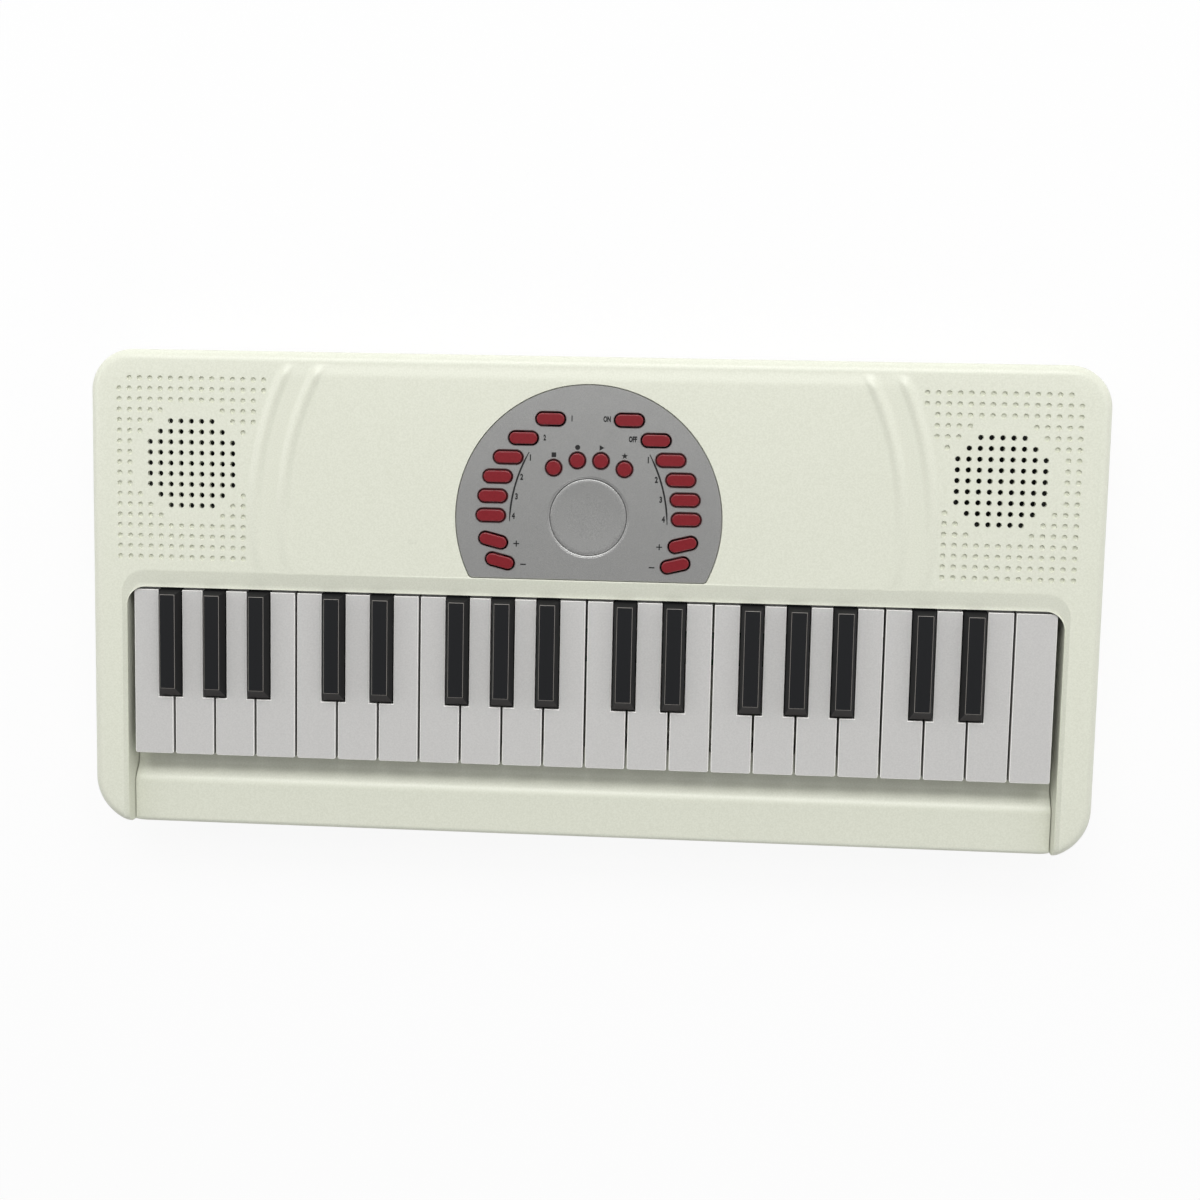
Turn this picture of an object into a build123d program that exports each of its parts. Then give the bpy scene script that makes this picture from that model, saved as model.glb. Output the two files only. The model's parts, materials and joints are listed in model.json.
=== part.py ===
from build123d import *
import os
from math import atan2, cos, degrees, hypot, radians, sin

# Toy electronic keyboard with 37 keys (F to F) and 20 buttons. Millimetres.
# X runs to the right, Y to the rear, Z up. The origin is the centre of the underside of the whole object.

os.makedirs("parts", exist_ok=True)

# ---------- case ----------
case_width = 479.0
case_depth = 231.0
rear_corner = 20.0
front_corner = 24.0
foot_height = 2.0
foot_radius = 7.0
foot_inset = 34.0
split_z = 21.0          # parting line of the two case halves
deck_z = 45.0           # plain deck, with the grilles
top_edge = 5.0          # rounding of the upper case's outer edge
bottom_edge = 3.0
wall = 2.5
deck_thickness = 2.0
floor_thickness = 2.5
floor_top = foot_height + floor_thickness
weld = 0.5              # how far one form reaches into another that it is joined to
past = 1.0              # how far a cut or a root runs past a face
hair = 0.01             # overshoot of a sloping cut at its top
front_y = -case_depth / 2
rear_y = case_depth / 2

# ---------- raised fields of the deck ----------
field_centre_y = 39.65  # shared by the control panel and both beads
bead_radii = (159.0, 145.3)
bead_rise = 0.70
field_step = 0.35
bead_outer_run = 2.6
bead_inner_run = 4.5
field_front_y = 10.15
field_corner = 7.0
field_rear_slope = 1.5
panel_z = deck_z + 2 * field_step

# ---------- keys ----------
white_count = 22
white_gap = 1.1
white_length = 80.3     # raised head
white_drop = 2.5        # white tops below the deck
white_top_z = deck_z - white_drop
white_height = 7.0
white_wall = 1.6
white_edge = 0.5        # rounding of the top edges
white_corner = 1.0      # rounding of the upright front corners
black_length = 51.4
black_rise = 5.0        # black top over white top
black_width = 10.6
black_top_width = 7.4
black_front_slope = 4.0
black_rear_slope = 2.0
black_edge = 0.4
black_offset = 1.7      # outward shift of the outer black keys of each group
slot_gap = 0.5          # side of a black key to its white neighbours
slot_front_gap = 0.9    # front of a black key to its white neighbours
key_plate = 1.8         # thickness of the key tops
black_shell_rise = 1.0  # hollow of a black key above the white tops
plunger_width = 4.0
key_floor_z = white_top_z - white_height

# ---------- key bay ----------
cheek_width = 16.9      # case beside the key bay
bay_half = case_width / 2 - cheek_width
bay_side_gap = 2.6      # last white boundary to the cheek
white_pitch = 2 * (bay_half - bay_side_gap) / white_count
lip_slope = 8.2         # width of the rolled strip behind the keys
bay_rear_y = field_front_y - lip_slope
bay_corner = 9.0
lip_drop = 1.1
lip_z = deck_z - lip_drop
cheek_slope = 2.0
head_gap = 1.2          # from the raised heads to the lip of the bay
head_rear_y = bay_rear_y - head_gap
key_front_y = head_rear_y - white_length
black_front_y = head_rear_y - black_length

# ---------- key pivot, stops and ribs ----------
pivot_setback = 7.25    # behind the raised heads
pivot_y = head_rear_y + pivot_setback
pivot_radius = 2.5
tail_length = 1.8
tail_height = 4.0
tail_top_z = key_floor_z + tail_height
hook_gap = 0.4
hook_wall = 1.9
hook_width = 6.4
hook_mouth = 110.0      # angle of the opening of the snap hook
hook_drop = 1.2         # top of the hook below the tail
hook_radius = pivot_radius + hook_gap + hook_wall
pivot_z = tail_top_z - hook_drop - hook_radius
white_leg_setback = 19.55
black_leg_setback = 6.65
white_leg_y = key_front_y + white_leg_setback
black_leg_y = black_front_y + black_leg_setback
leg_width = 5.0
leg_thickness = 2.0
leg_foot_reach = 3.4
leg_foot_height = 1.5
leg_gap = 0.6           # leg to stop bar, along Y
stop_gap = 0.35         # foot to stop bar, along Z
stop_bar_depth = 3.0
stop_bar_height = 2.5
stop_bar_drop = 11.0    # underside of the stop bars below the keys' lower edge
stop_bar_z = key_floor_z - stop_bar_drop
rib_lap = 0.7           # ribs past the pivot bar, and under the stop bars
rib_thickness = 2.0
rib_end_gap = 1.2       # end ribs to the cheeks
rib_keys = (4, 7, 11, 14, 18, 21)   # white keys to the left of each inner rib

# ---------- front rail ----------
rail_gap = 0.4
rail_drop = 10.0        # plateau below the deck
rail_top_z = deck_z - rail_drop
rail_step = 5.7         # trough below the plateau
rail_trough_z = rail_top_z - rail_step
rail_lap = 7.55         # trough under the key fronts
rail_trough_depth = 6.45
rail_slope = 8.0
rail_rear_y = key_front_y + rail_lap
rail_foot_y = key_front_y - rail_trough_depth
rail_crest_y = rail_foot_y - rail_slope
rail_foot_round = 4.0
rail_crest_round = 6.0
rail_edge = 2.5
rail_inner_edge = 0.5

# ---------- control panel and buttons ----------
panel_radius = 62.6
panel_rim = 0.8         # field between the panel and the rolled strip
panel_front_y = field_front_y + panel_rim
panel_corner = 2.5
panel_thickness = 2.2
panel_gap = 0.3
panel_drop = 0.1        # panel face below the inner field
panel_edge = 0.3        # chamfer round the panel and its holes
ledge = 2.3
ledge_thickness = 2.4
dish_radius = 18.0
dish_slope = 1.3
dish_depth = 0.7
dish_setback = 1.0
dish_y = field_centre_y + dish_setback
cap_length = 13.0
cap_width = 5.4
round_cap_radius = 3.35
cap_gap = 0.75
cap_rise = 1.1
cap_edge = 0.5
flange_lap = 0.45
flange_thickness = 1.1
flange_gap = 0.35
rocker_swing = 4.5      # degrees each way
rocker_gap = 0.3        # tilted bridge to the panel
stem_radius = 1.6
bridge_width = 4.0
bridge_height = 2.0
axle_radius = 1.1
axle_gap = 0.35
axle_drop = 1.5         # axle below the underside of the panel
ear_thickness = 1.6
ear_width = 4.4
ear_height = 3.7
ear_mouth = 0.85        # opening of an ear, as a share of its bore
ear_half_distance = 7.0
panel_post_radius = 2.4
rear_panel_post = (9.0, 8.6)        # in from the edge of the panel, angle from straight back
front_panel_post = (11.7, 109.6)    # out from the dish, angle from straight back
# Name: distance in from the edge of the panel, angle from straight back, turn of the outer end.
left_caps = {
    "song_1": (12.6, 21.6, 0.0), "song_2": (14.0, 39.7, 0.0),
    "rhythm_1": (15.1, 53.4, 0.0), "rhythm_2": (15.5, 65.9, 0.0),
    "rhythm_3": (16.3, 77.5, 0.0), "rhythm_4": (16.6, 88.9, 0.0),
    "tempo_up": (16.6, 103.7, -14.0), "tempo_down": (16.4, 116.5, -14.0),
}
mirror_names = {
    "song_1": "power_on", "song_2": "power_off",
    "rhythm_1": "instrument_1", "rhythm_2": "instrument_2",
    "rhythm_3": "instrument_3", "rhythm_4": "instrument_4",
    "tempo_up": "volume_up", "tempo_down": "volume_down",
}
# Name: distance out from the dish, angle from straight back.
round_places = {"stop": (10.2, 36.1), "record": (9.0, 11.8), "play": (9.0, -11.8), "effect": (10.2, -36.1)}
rockers = {
    "song_rocker": ("song_1", "song_2"),
    "power_rocker": ("power_on", "power_off"),
    "tempo_rocker": ("tempo_up", "tempo_down"),
    "volume_rocker": ("volume_up", "volume_down"),
}

# ---------- boards, rubbers and speakers ----------
board_thickness = 1.6
board_side_inset = 6.6  # from the panel's edge to the main board's
board_front_inset = 4.05
board_rear_inset = 7.25
main_board_front_y = panel_front_y + board_front_inset
main_board_rear_y = field_centre_y + panel_radius - board_rear_inset
main_board = (2 * (panel_radius - board_side_inset), main_board_rear_y - main_board_front_y)
main_board_y = (main_board_front_y + main_board_rear_y) / 2
main_board_drop = 11.4  # underside of the main board below the deck
main_board_z = deck_z - main_board_drop
key_board_depth = 16.0
key_board_end_gap = 4.1
key_board_setback = 22.75
key_board_drop = 8.5
key_board_length = 2 * (bay_half - key_board_end_gap)
key_board_y = head_rear_y - key_board_setback
key_board_z = key_floor_z - key_board_drop
mat_thickness = 0.8
mat_inset = 3.0
mat_hole_gap = 0.8      # round the posts of the panel
dome_height = 3.2
dome_radii = (2.6, 1.8)
dome_gap = 0.3
speaker_inset = 49.5    # from the end of the case
speaker_x = case_width / 2 - speaker_inset
speaker_y = 61.65
speaker_radius = 26.0
speaker_depth = 17.0
speaker_gap = 0.3
speaker_ring_height = 5.0
magnet_radius = 14.0
magnet_depth = 7.0
basket_rim = 3.0
cone_rim = 3.5          # from the edge of the basket to the cone
cone_depth = 6.0
dust_cap_radius = 9.0
dust_cap_depth = 4.5
grille_pitch = 5.0
grille_rows = (5, 7, 9, 9, 9, 9, 9, 7, 5)
grille_hole_radius = 1.1

# ---------- battery bay, posts ----------
bay_size = (66.0, 62.0, 16.5)
battery_centre = (0.0, 62.0)
door_thickness = 2.0
door_gap = 0.4
door_lap = 2.0
door_corner = 2.0
door_ear_radius = 6.0   # round ear for the screw of the door
door_ear_setback = 1.6
door_boss_height = 10.0
door_head_depth = 1.4   # countersink for the screw of the door
door_notch = (16.0, 7.0, 0.8)       # finger notch: length, depth along the door, depth into it
upper_post_radius = 3.5
lower_post_radius = 4.6
post_gap = 0.3
pilot_radius = 1.3
pilot_depth = 12.0
screw_radius = 1.7
screw_head_radius = 3.2
screw_seat_depth = 6.0
screw_seat_z = foot_height + screw_seat_depth
cheek_x = case_width / 2 - cheek_width / 2
post_side_inset = 35.5
post_rear_inset = 17.5
middle_post_gap = 14.9  # from the panel's pocket to the middle posts
cheek_post_places = (33.5, 133.5)   # behind the front of the case
rear_post_y = rear_y - post_rear_inset
rear_post_x = case_width / 2 - post_side_inset
middle_post_x = panel_radius + wall + middle_post_gap
right_posts = [(rear_post_x, rear_post_y), (middle_post_x, rear_post_y)]
right_posts += [(cheek_x, front_y + place) for place in cheek_post_places]
post_places = [(side * x, y) for side in (-1, 1) for x, y in right_posts]


def at(shape, x=0.0, y=0.0, z=0.0):
    return Pos(x, y, z) * shape


def block(x0, x1, y0, y1, z0, z1):
    """A box given by its limits."""
    return Pos((x0 + x1) / 2, (y0 + y1) / 2, (z0 + z1) / 2) * Box(x1 - x0, y1 - y0, z1 - z0)


def post(radius, x, y, z0, z1):
    return Pos(x, y, (z0 + z1) / 2) * Cylinder(radius, z1 - z0)


def plate(plan, z0, z1):
    """A plan outline made solid between two heights."""
    return extrude(Pos(0, 0, z0) * plan, amount=z1 - z0)


def side_solid(points, x0, x1, rounds=()):
    """A solid between x0 and x1. Its outline is given as (y, z) points, and rounds as (point, radius)."""
    outline = make_face(Polyline(*points, close=True))
    for point, radius in rounds:
        outline = fillet(outline.vertices().sort_by_distance(point)[0], radius)
    return extrude(Plane.YZ.offset(x0) * outline, amount=x1 - x0)


def round_solid(points, x=0.0, y=0.0):
    """A solid turned about an upright axis, from (radius, z) points."""
    outline = Plane.XZ * make_face(Polyline(*points, close=True))
    return Pos(x, y, 0) * revolve(outline, Axis.Z)


def rounded_front(plan, radius):
    return fillet(plan.vertices().group_by(Axis.Y)[0], radius)


def rounded_rear(plan, radius):
    return fillet(plan.vertices().group_by(Axis.Y)[-1], radius)


def save(name, shape):
    export_step(shape, f"parts/{name}.step")


# ---------- case ----------
def case_plan(inset=0.0):
    """The outline of the case, seen from above."""
    plan = Rectangle(case_width - 2 * inset, case_depth - 2 * inset)
    return rounded_front(rounded_rear(plan, rear_corner - inset), front_corner - inset)


def bay_plan(side=0.0, rear=0.0):
    """The outline of the key bay, open at the front."""
    past_front = front_y - 10
    depth = bay_rear_y + rear - past_front
    plan = Pos(0, past_front + depth / 2) * Rectangle(2 * (bay_half + side), depth)
    return rounded_rear(plan, bay_corner + min(side, rear))


def d_plan(radius, cut_y, corner):
    """A disc about the field centre, with a straight front edge and rounded corners there."""
    top = field_centre_y + radius
    keep = Pos(0, (cut_y + top) / 2) * Rectangle(2 * radius, top - cut_y)
    return rounded_front(at(Circle(radius), 0, field_centre_y) & keep, corner)


def raised_field(radius, z):
    """One raised field of the deck, with its bead along the rim."""
    base = deck_z - deck_thickness / 4
    rim = radius + bead_outer_run
    crest = [(rim, z), (radius, z + bead_rise), (radius - bead_inner_run, z + field_step)]
    disc = round_solid([(0, base), (rim, base), *crest, (0, z + field_step)], y=field_centre_y)
    top = deck_z + 2 * bead_rise
    rear = rear_y - top_edge
    front = field_front_y
    slope_top = (rear - field_rear_slope * (top - deck_z), top)
    sides = side_solid([(front, base), (rear, base), (rear, deck_z), slope_top, (front, top)], -rim, rim)
    return disc & sides & plate(d_plan(rim, front, field_corner), base, top)


def grille_places(side):
    """Places of the holes over one speaker."""
    places = []
    for row, count in enumerate(grille_rows):
        y = speaker_y + (row - (len(grille_rows) - 1) / 2) * grille_pitch
        for column in range(count):
            places.append((side * speaker_x + (column - (count - 1) / 2) * grille_pitch, y))
    return places


panel_top_z = panel_z - panel_drop
panel_floor_z = panel_top_z - panel_thickness
deck_floor_z = deck_z - deck_thickness


def upper_case():
    body = plate(case_plan(), split_z, deck_z)
    body = fillet(body.faces().sort_by(Axis.Z)[-1].edges(), top_edge)
    shell = body - plate(case_plan(wall), split_z, deck_floor_z)
    for side in (-1, 1):
        inner, outer = sorted((side * bay_half, side * (bay_half + wall)))
        shell += block(inner, outer, front_y, bay_rear_y + 4 * wall, split_z, deck_z - past) & body
        seat_radius = speaker_radius + speaker_gap
        ring_bottom = deck_floor_z - speaker_ring_height
        shell += post(seat_radius + wall, side * speaker_x, speaker_y, ring_bottom, deck_floor_z + weld)
        shell -= post(seat_radius, side * speaker_x, speaker_y, split_z, deck_floor_z)
    for z, radius in zip((deck_z, deck_z + field_step), bead_radii):
        shell += raised_field(radius, z)
    ledge_bottom = panel_floor_z - ledge_thickness
    ledge_plan = d_plan(panel_radius + wall, panel_front_y - wall, panel_corner + wall)
    shell += plate(ledge_plan, ledge_bottom, deck_floor_z + weld)
    for x, y in post_places:
        shell += post(upper_post_radius, x, y, split_z, deck_floor_z + weld)
        shell -= post(pilot_radius, x, y, split_z, split_z + pilot_depth)
    pocket = d_plan(panel_radius + panel_gap, panel_front_y - panel_gap, panel_corner)
    shell -= plate(pocket, panel_floor_z, panel_z + past)
    window = d_plan(panel_radius - ledge, panel_front_y + ledge, panel_corner)
    shell -= plate(window, ledge_bottom - past, panel_z)
    shell -= plate(bay_plan(), split_z - past, deck_z + 2 * past)
    rim_low = Pos(0, 0, lip_z) * bay_plan()
    rim_high = Pos(0, 0, deck_z + hair) * bay_plan(cheek_slope, lip_slope)
    shell -= loft([rim_low, rim_high], ruled=True)
    holes = [Pos(*place, deck_z) * Cylinder(grille_hole_radius, 3 * deck_thickness)
             for side in (-1, 1) for place in grille_places(side)]
    return shell - holes


# ---------- lower case ----------
def key_rib(x):
    """An upright rib that carries the pivot bar, the key board and the stop bars."""
    front = rail_rear_y - wall
    half_board = key_board_depth / 2
    rear = pivot_y + pivot_radius + rib_lap
    rise = pivot_y - pivot_radius - rib_lap
    stop_top = stop_bar_z + stop_bar_height / 2
    outline = [(front, floor_top - past), (rear, floor_top - past)]
    outline += [(rear, pivot_z + pivot_radius), (rise, pivot_z + pivot_radius)]
    outline += [(rise, key_board_z), (key_board_y - half_board, key_board_z)]
    outline += [(key_board_y - half_board, stop_top), (front, stop_top)]
    return side_solid(outline, x - rib_thickness / 2, x + rib_thickness / 2)


def rail(inset=0.0):
    """The moulded rail in front of the keys."""
    half = bay_half - rail_gap - inset
    front, rear = front_y + inset, rail_rear_y - inset
    top, trough = rail_top_z - inset, rail_trough_z - inset
    edge = max(rail_edge - inset, rail_inner_edge)
    points = [(front, floor_top - past), (rear, floor_top - past), (rear, trough)]
    points += [(rail_foot_y, trough), (rail_crest_y, top), (front, top)]
    rounds = [((rail_foot_y, trough), rail_foot_round), ((rail_crest_y, top), rail_crest_round)]
    rounds.append(((front, top), edge))
    return side_solid(points, -half, half, rounds)


def lower_case():
    tub = plate(case_plan(), foot_height, split_z)
    tub = fillet(tub.faces().sort_by(Axis.Z)[0].edges(), bottom_edge)
    tub -= plate(case_plan(wall), floor_top, split_z)
    outline = plate(case_plan(), foot_height, deck_z)
    hollow = rail(wall) & plate(case_plan(wall), floor_top, deck_z)
    tub += (rail() & outline) - hollow
    tub -= hollow
    ends = bay_half - rib_end_gap - rib_thickness / 2
    rib_places = [-ends, ends] + [key_boundary(keys) for keys in rib_keys]
    for x in rib_places:
        tub += key_rib(x)
    tub += at(Rot(0, 90, 0) * Cylinder(pivot_radius, 2 * ends + rib_thickness), 0, pivot_y, pivot_z)
    for leg_y in (white_leg_y, black_leg_y):
        rear = leg_y - leg_thickness / 2 - leg_gap
        tub += block(-ends, ends, rear - stop_bar_depth, rear, stop_bar_z, stop_bar_z + stop_bar_height)
    length, depth, height = bay_size
    ledge_z = foot_height + door_thickness + door_gap
    tub += plate(door_plan(door_gap + wall), foot_height + past, ledge_z + wall)
    bay = Pos(*battery_centre) * Rectangle(length, depth)
    tub += plate(offset(bay, amount=wall, kind=Kind.INTERSECTION), ledge_z, ledge_z + height + wall)
    tub -= plate(bay, 0, ledge_z + height)
    tub -= plate(door_plan(door_gap), 0, ledge_z)
    x, y = door_screw_place
    tub += post(lower_post_radius, x, y, ledge_z + past, ledge_z + door_boss_height)
    tub -= post(pilot_radius, x, y, ledge_z - past, ledge_z + door_boss_height - wall)
    for x, y in post_places:
        tub += post(lower_post_radius, x, y, foot_height + past, split_z - post_gap)
        tub -= post(screw_radius, x, y, 0, split_z)
        tub -= post(screw_head_radius, x, y, 0, screw_seat_z)
    for x in (-1, 1):
        for y in (-1, 1):
            foot_x, foot_y = x * (case_width / 2 - foot_inset), y * (case_depth / 2 - foot_inset)
            tub += post(foot_radius, foot_x, foot_y, 0, foot_height + past)
    return tub


door_length = bay_size[0] + 2 * (door_lap - door_gap)
door_depth = bay_size[1] + 2 * (door_lap - door_gap)
door_screw_place = (battery_centre[0], battery_centre[1] - door_depth / 2 - door_ear_setback)


def door_plan(grow=0.0):
    """The outline of the battery door, with its screw ear."""
    plan = RectangleRounded(door_length + 2 * grow, door_depth + 2 * grow, door_corner + grow)
    return Pos(*battery_centre) * plan + Pos(*door_screw_place) * Circle(door_ear_radius + grow)


def battery_door():
    door = plate(door_plan(), foot_height, foot_height + door_thickness)
    door -= post(screw_radius, *door_screw_place, 0, floor_top + past)
    head = Cone(screw_head_radius, screw_radius, door_head_depth)
    door -= Pos(*door_screw_place, foot_height + door_head_depth / 2) * head
    notch_length, notch_depth, notch_cut = door_notch
    x, y = battery_centre
    rear = y + door_depth / 2
    notch = SlotOverall(notch_length, notch_depth)
    return door - plate(Pos(x, rear - notch_depth) * notch, foot_height - past, foot_height + notch_cut)


# ---------- keys ----------
note_letters = ("f", "g", "a", "b", "c", "d", "e")
black_offsets = {"f": -black_offset, "g": 0.0, "a": black_offset, "c": -black_offset, "d": black_offset}


def white_note(index):
    """Letter and octave of a white key, counted from the left."""
    letter = note_letters[index % len(note_letters)]
    octave = 3 + (index + 3) // len(note_letters)
    return letter, octave


def key_boundary(index):
    return (index - white_count / 2) * white_pitch


def black_centre(index):
    """Centre of the black key that follows a white key, or None."""
    letter = white_note(index)[0]
    if index < 0 or index >= white_count - 1 or letter not in black_offsets:
        return None
    return key_boundary(index + 1) + black_offsets[letter]


dome_top_z = key_board_z + board_thickness + mat_thickness + dome_height
black_reach = black_width / 2 + slot_gap    # centre of a black key to its white neighbours
notch_y = black_front_y - slot_front_gap


def neck_limits(index):
    """Left and right side of a white key beside the black keys."""
    left = key_boundary(index) + white_gap / 2
    right = key_boundary(index + 1) - white_gap / 2
    if black_centre(index - 1) is not None:
        left = black_centre(index - 1) + black_reach
    if black_centre(index) is not None:
        right = black_centre(index) - black_reach
    return left, right


def neck_centre(index):
    left, right = neck_limits(index)
    return (left + right) / 2


def hook(x, width):
    """Tail and snap hook round the pivot bar."""
    half = hook_width / 2
    tail_rear = head_rear_y + tail_length
    tail = block(x - width / 2, x + width / 2, head_rear_y - past, tail_rear, key_floor_z, tail_top_z)
    arm = block(x - half, x + half, head_rear_y, pivot_y, key_floor_z, pivot_z + hook_radius)
    ring = at(Rot(0, 90, 0) * Cylinder(hook_radius, hook_width), x, pivot_y, pivot_z)
    reach = 2 * hook_radius
    spread = reach * sin(radians(hook_mouth / 2)) / cos(radians(hook_mouth / 2))
    wedge = [(pivot_y, pivot_z), (pivot_y - spread, pivot_z - reach), (pivot_y + spread, pivot_z - reach)]
    mouth = side_solid(wedge, x - width, x + width)
    bore = at(Rot(0, 90, 0) * Cylinder(pivot_radius + hook_gap, 2 * hook_width), x, pivot_y, pivot_z)
    return tail + arm + ring - mouth - bore


def stop_leg(x, leg_y, top_z):
    """The leg that catches under a stop bar when the key comes up."""
    half = leg_width / 2
    front = leg_y - leg_thickness / 2
    bottom = stop_bar_z - stop_gap - leg_foot_height
    outline = [(front, top_z), (front + leg_thickness, top_z), (front + leg_thickness, bottom)]
    outline += [(front - leg_foot_reach, bottom), (front - leg_foot_reach, bottom + leg_foot_height)]
    outline += [(front, bottom + leg_foot_height)]
    return side_solid(outline, x - half, x + half)


def plunger(x, top_z):
    half = plunger_width / 2
    bottom = dome_top_z + dome_gap
    return block(x - half, x + half, key_board_y - half, key_board_y + half, bottom, top_z)


def white_key(index):
    left = key_boundary(index) + white_gap / 2
    right = key_boundary(index + 1) - white_gap / 2
    neck_left, neck_right = neck_limits(index)
    points = [(left, key_front_y), (right, key_front_y)]
    if neck_right < right:
        points += [(right, notch_y), (neck_right, notch_y)]
    points += [(neck_right, head_rear_y), (neck_left, head_rear_y)]
    if neck_left > left:
        points += [(neck_left, notch_y), (left, notch_y)]
    plan = make_face(Polyline(*points, close=True))
    body = plate(rounded_front(plan, white_corner), key_floor_z, white_top_z)
    body = fillet(body.faces().sort_by(Axis.Z)[-1].edges(), white_edge)
    inside = offset(plan, amount=-white_wall, kind=Kind.INTERSECTION)
    shell_top = white_top_z - key_plate
    body -= plate(inside, key_floor_z, shell_top)
    neck = neck_centre(index)
    body += hook(neck, neck_right - neck_left)
    body += plunger(neck, shell_top + weld) + stop_leg((left + right) / 2, white_leg_y, shell_top + weld)
    return body


def black_key(index):
    x = black_centre(index)
    half, top_half = black_width / 2, black_top_width / 2
    body = block(x - half, x + half, black_front_y, head_rear_y, key_floor_z, white_top_z)
    foot = Pos(x, (black_front_y + head_rear_y) / 2, white_top_z) * Rectangle(black_width, black_length)
    front, rear = black_front_y + black_front_slope, head_rear_y - black_rear_slope
    top = Pos(x, (front + rear) / 2, white_top_z + black_rise) * Rectangle(black_top_width, rear - front)
    head = loft([foot, top], ruled=True)
    slanted = head.edges() - head.faces().sort_by(Axis.Z)[0].edges()
    body += fillet(slanted, black_edge)
    shell_top = white_top_z + black_shell_rise
    front, rear = black_front_y + white_wall, head_rear_y - white_wall
    body -= block(x - half + white_wall, x + half - white_wall, front, rear, key_floor_z, shell_top)
    body += hook(x, black_width)
    body += plunger(x, shell_top + weld) + stop_leg(x, black_leg_y, shell_top + weld)
    return body


# ---------- control panel ----------
def behind(distance, angle, setback=0.0):
    """Left and rearward distance from the field centre, at an angle from straight back."""
    return -distance * sin(radians(angle)), setback + distance * cos(radians(angle))


long_caps = {}
for left_name, right_name in mirror_names.items():
    rim_distance, angle, cap_turn = left_caps[left_name]
    cap_x, cap_y = behind(panel_radius - rim_distance, angle)
    long_caps[left_name] = (cap_x, cap_y, cap_turn)
    long_caps[right_name] = (-cap_x, cap_y, -cap_turn)
round_caps = {}
for cap_name, (dish_distance, angle) in round_places.items():
    round_caps[cap_name] = behind(dish_radius + dish_distance, angle, dish_setback)
axle_z = panel_floor_z - axle_drop
flange_top_z = panel_floor_z - flange_gap
flange_floor_z = flange_top_z - flange_thickness
main_dome_z = main_board_z + board_thickness + mat_thickness + dome_height


def long_plan(name, grow=0.0):
    x, y, turn = long_caps[name]
    slot = SlotOverall(cap_length + 2 * grow, cap_width + 2 * grow)
    return Pos(x, field_centre_y + y) * (Rot(0, 0, turn) * slot)


def round_plan(name, grow=0.0):
    x, y = round_caps[name]
    return Pos(x, field_centre_y + y) * Circle(round_cap_radius + grow)


def cap(plan, x, y, bottom):
    """The part of a button that is seen, and its stem."""
    body = plate(plan, bottom, panel_top_z + cap_rise)
    body = fillet(body.faces().sort_by(Axis.Z)[-1].edges(), cap_edge)
    return body + post(stem_radius, x, field_centre_y + y, main_dome_z + dome_gap, bottom + weld)


def long_cap(name):
    x, y, _ = long_caps[name]
    flange = plate(long_plan(name, cap_gap + flange_lap), flange_floor_z, flange_top_z)
    return cap(long_plan(name), x, y, flange_floor_z) + flange


def round_cap(name):
    x, y = round_caps[name]
    flange = plate(round_plan(name, cap_gap + flange_lap), flange_floor_z, flange_top_z)
    return cap(round_plan(name), x, y, flange_floor_z) + flange


def rocker_axle(name):
    """Middle, direction in degrees and half length of a rocker's axle."""
    (x1, y1, turn), (x2, y2, _) = (long_caps[cap_name] for cap_name in rockers[name])
    middle = ((x1 + x2) / 2, field_centre_y + (y1 + y2) / 2)
    if turn:
        along = abs((x2 - x1) * cos(radians(turn)) + (y2 - y1) * sin(radians(turn))) / 2
        return middle, turn, along + cap_length / 2 + cap_gap + ear_thickness
    return middle, degrees(atan2(y2 - y1, x2 - x1)) + 90, ear_half_distance


def rocker(name):
    """Two caps joined by a bridge that turns on an axle under the panel."""
    first, second = rockers[name]
    (x, y), direction, half = rocker_axle(name)
    (x1, y1, _), (x2, y2, _) = long_caps[first], long_caps[second]
    reach = hypot(x2 - x1, y2 - y1)
    rise = (reach + cap_width) / 2 * sin(radians(rocker_swing))
    top = panel_floor_z - rise - rocker_gap
    bridge = Rot(0, 0, degrees(atan2(y2 - y1, x2 - x1))) * Box(reach, bridge_width, bridge_height)
    body = at(bridge, x, y, top - bridge_height / 2)
    for cap_name, cap_x, cap_y in ((first, x1, y1), (second, x2, y2)):
        body += cap(long_plan(cap_name), cap_x, cap_y, top - bridge_height)
    axle = Rot(0, 0, direction) * (Rot(0, 90, 0) * Cylinder(axle_radius, 2 * half + ear_thickness))
    return body + at(axle, x, y, axle_z)


def rocker_ears(name):
    (x, y), direction, half = rocker_axle(name)
    ears = []
    hole = axle_radius + axle_gap
    root = panel_floor_z + weld
    for side in (-1, 1):
        height = ear_height + weld
        ear = at(Box(ear_thickness, ear_width, height), side * half, 0, root - height / 2)
        ear -= at(Rot(0, 90, 0) * Cylinder(hole, 3 * ear_thickness), side * half, 0, axle_z)
        mouth = Box(3 * ear_thickness, 2 * hole * ear_mouth, ear_height)
        ear -= at(mouth, side * half, 0, axle_z - ear_height / 2)
        ears.append(Pos(x, y, 0) * (Rot(0, 0, direction) * ear))
    return ears


panel_posts = []
for post_side in (-1, 1):
    panel_posts.append(behind(panel_radius - rear_panel_post[0], post_side * rear_panel_post[1]))
    panel_posts.append(behind(dish_radius + front_panel_post[0], post_side * front_panel_post[1]))


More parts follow.
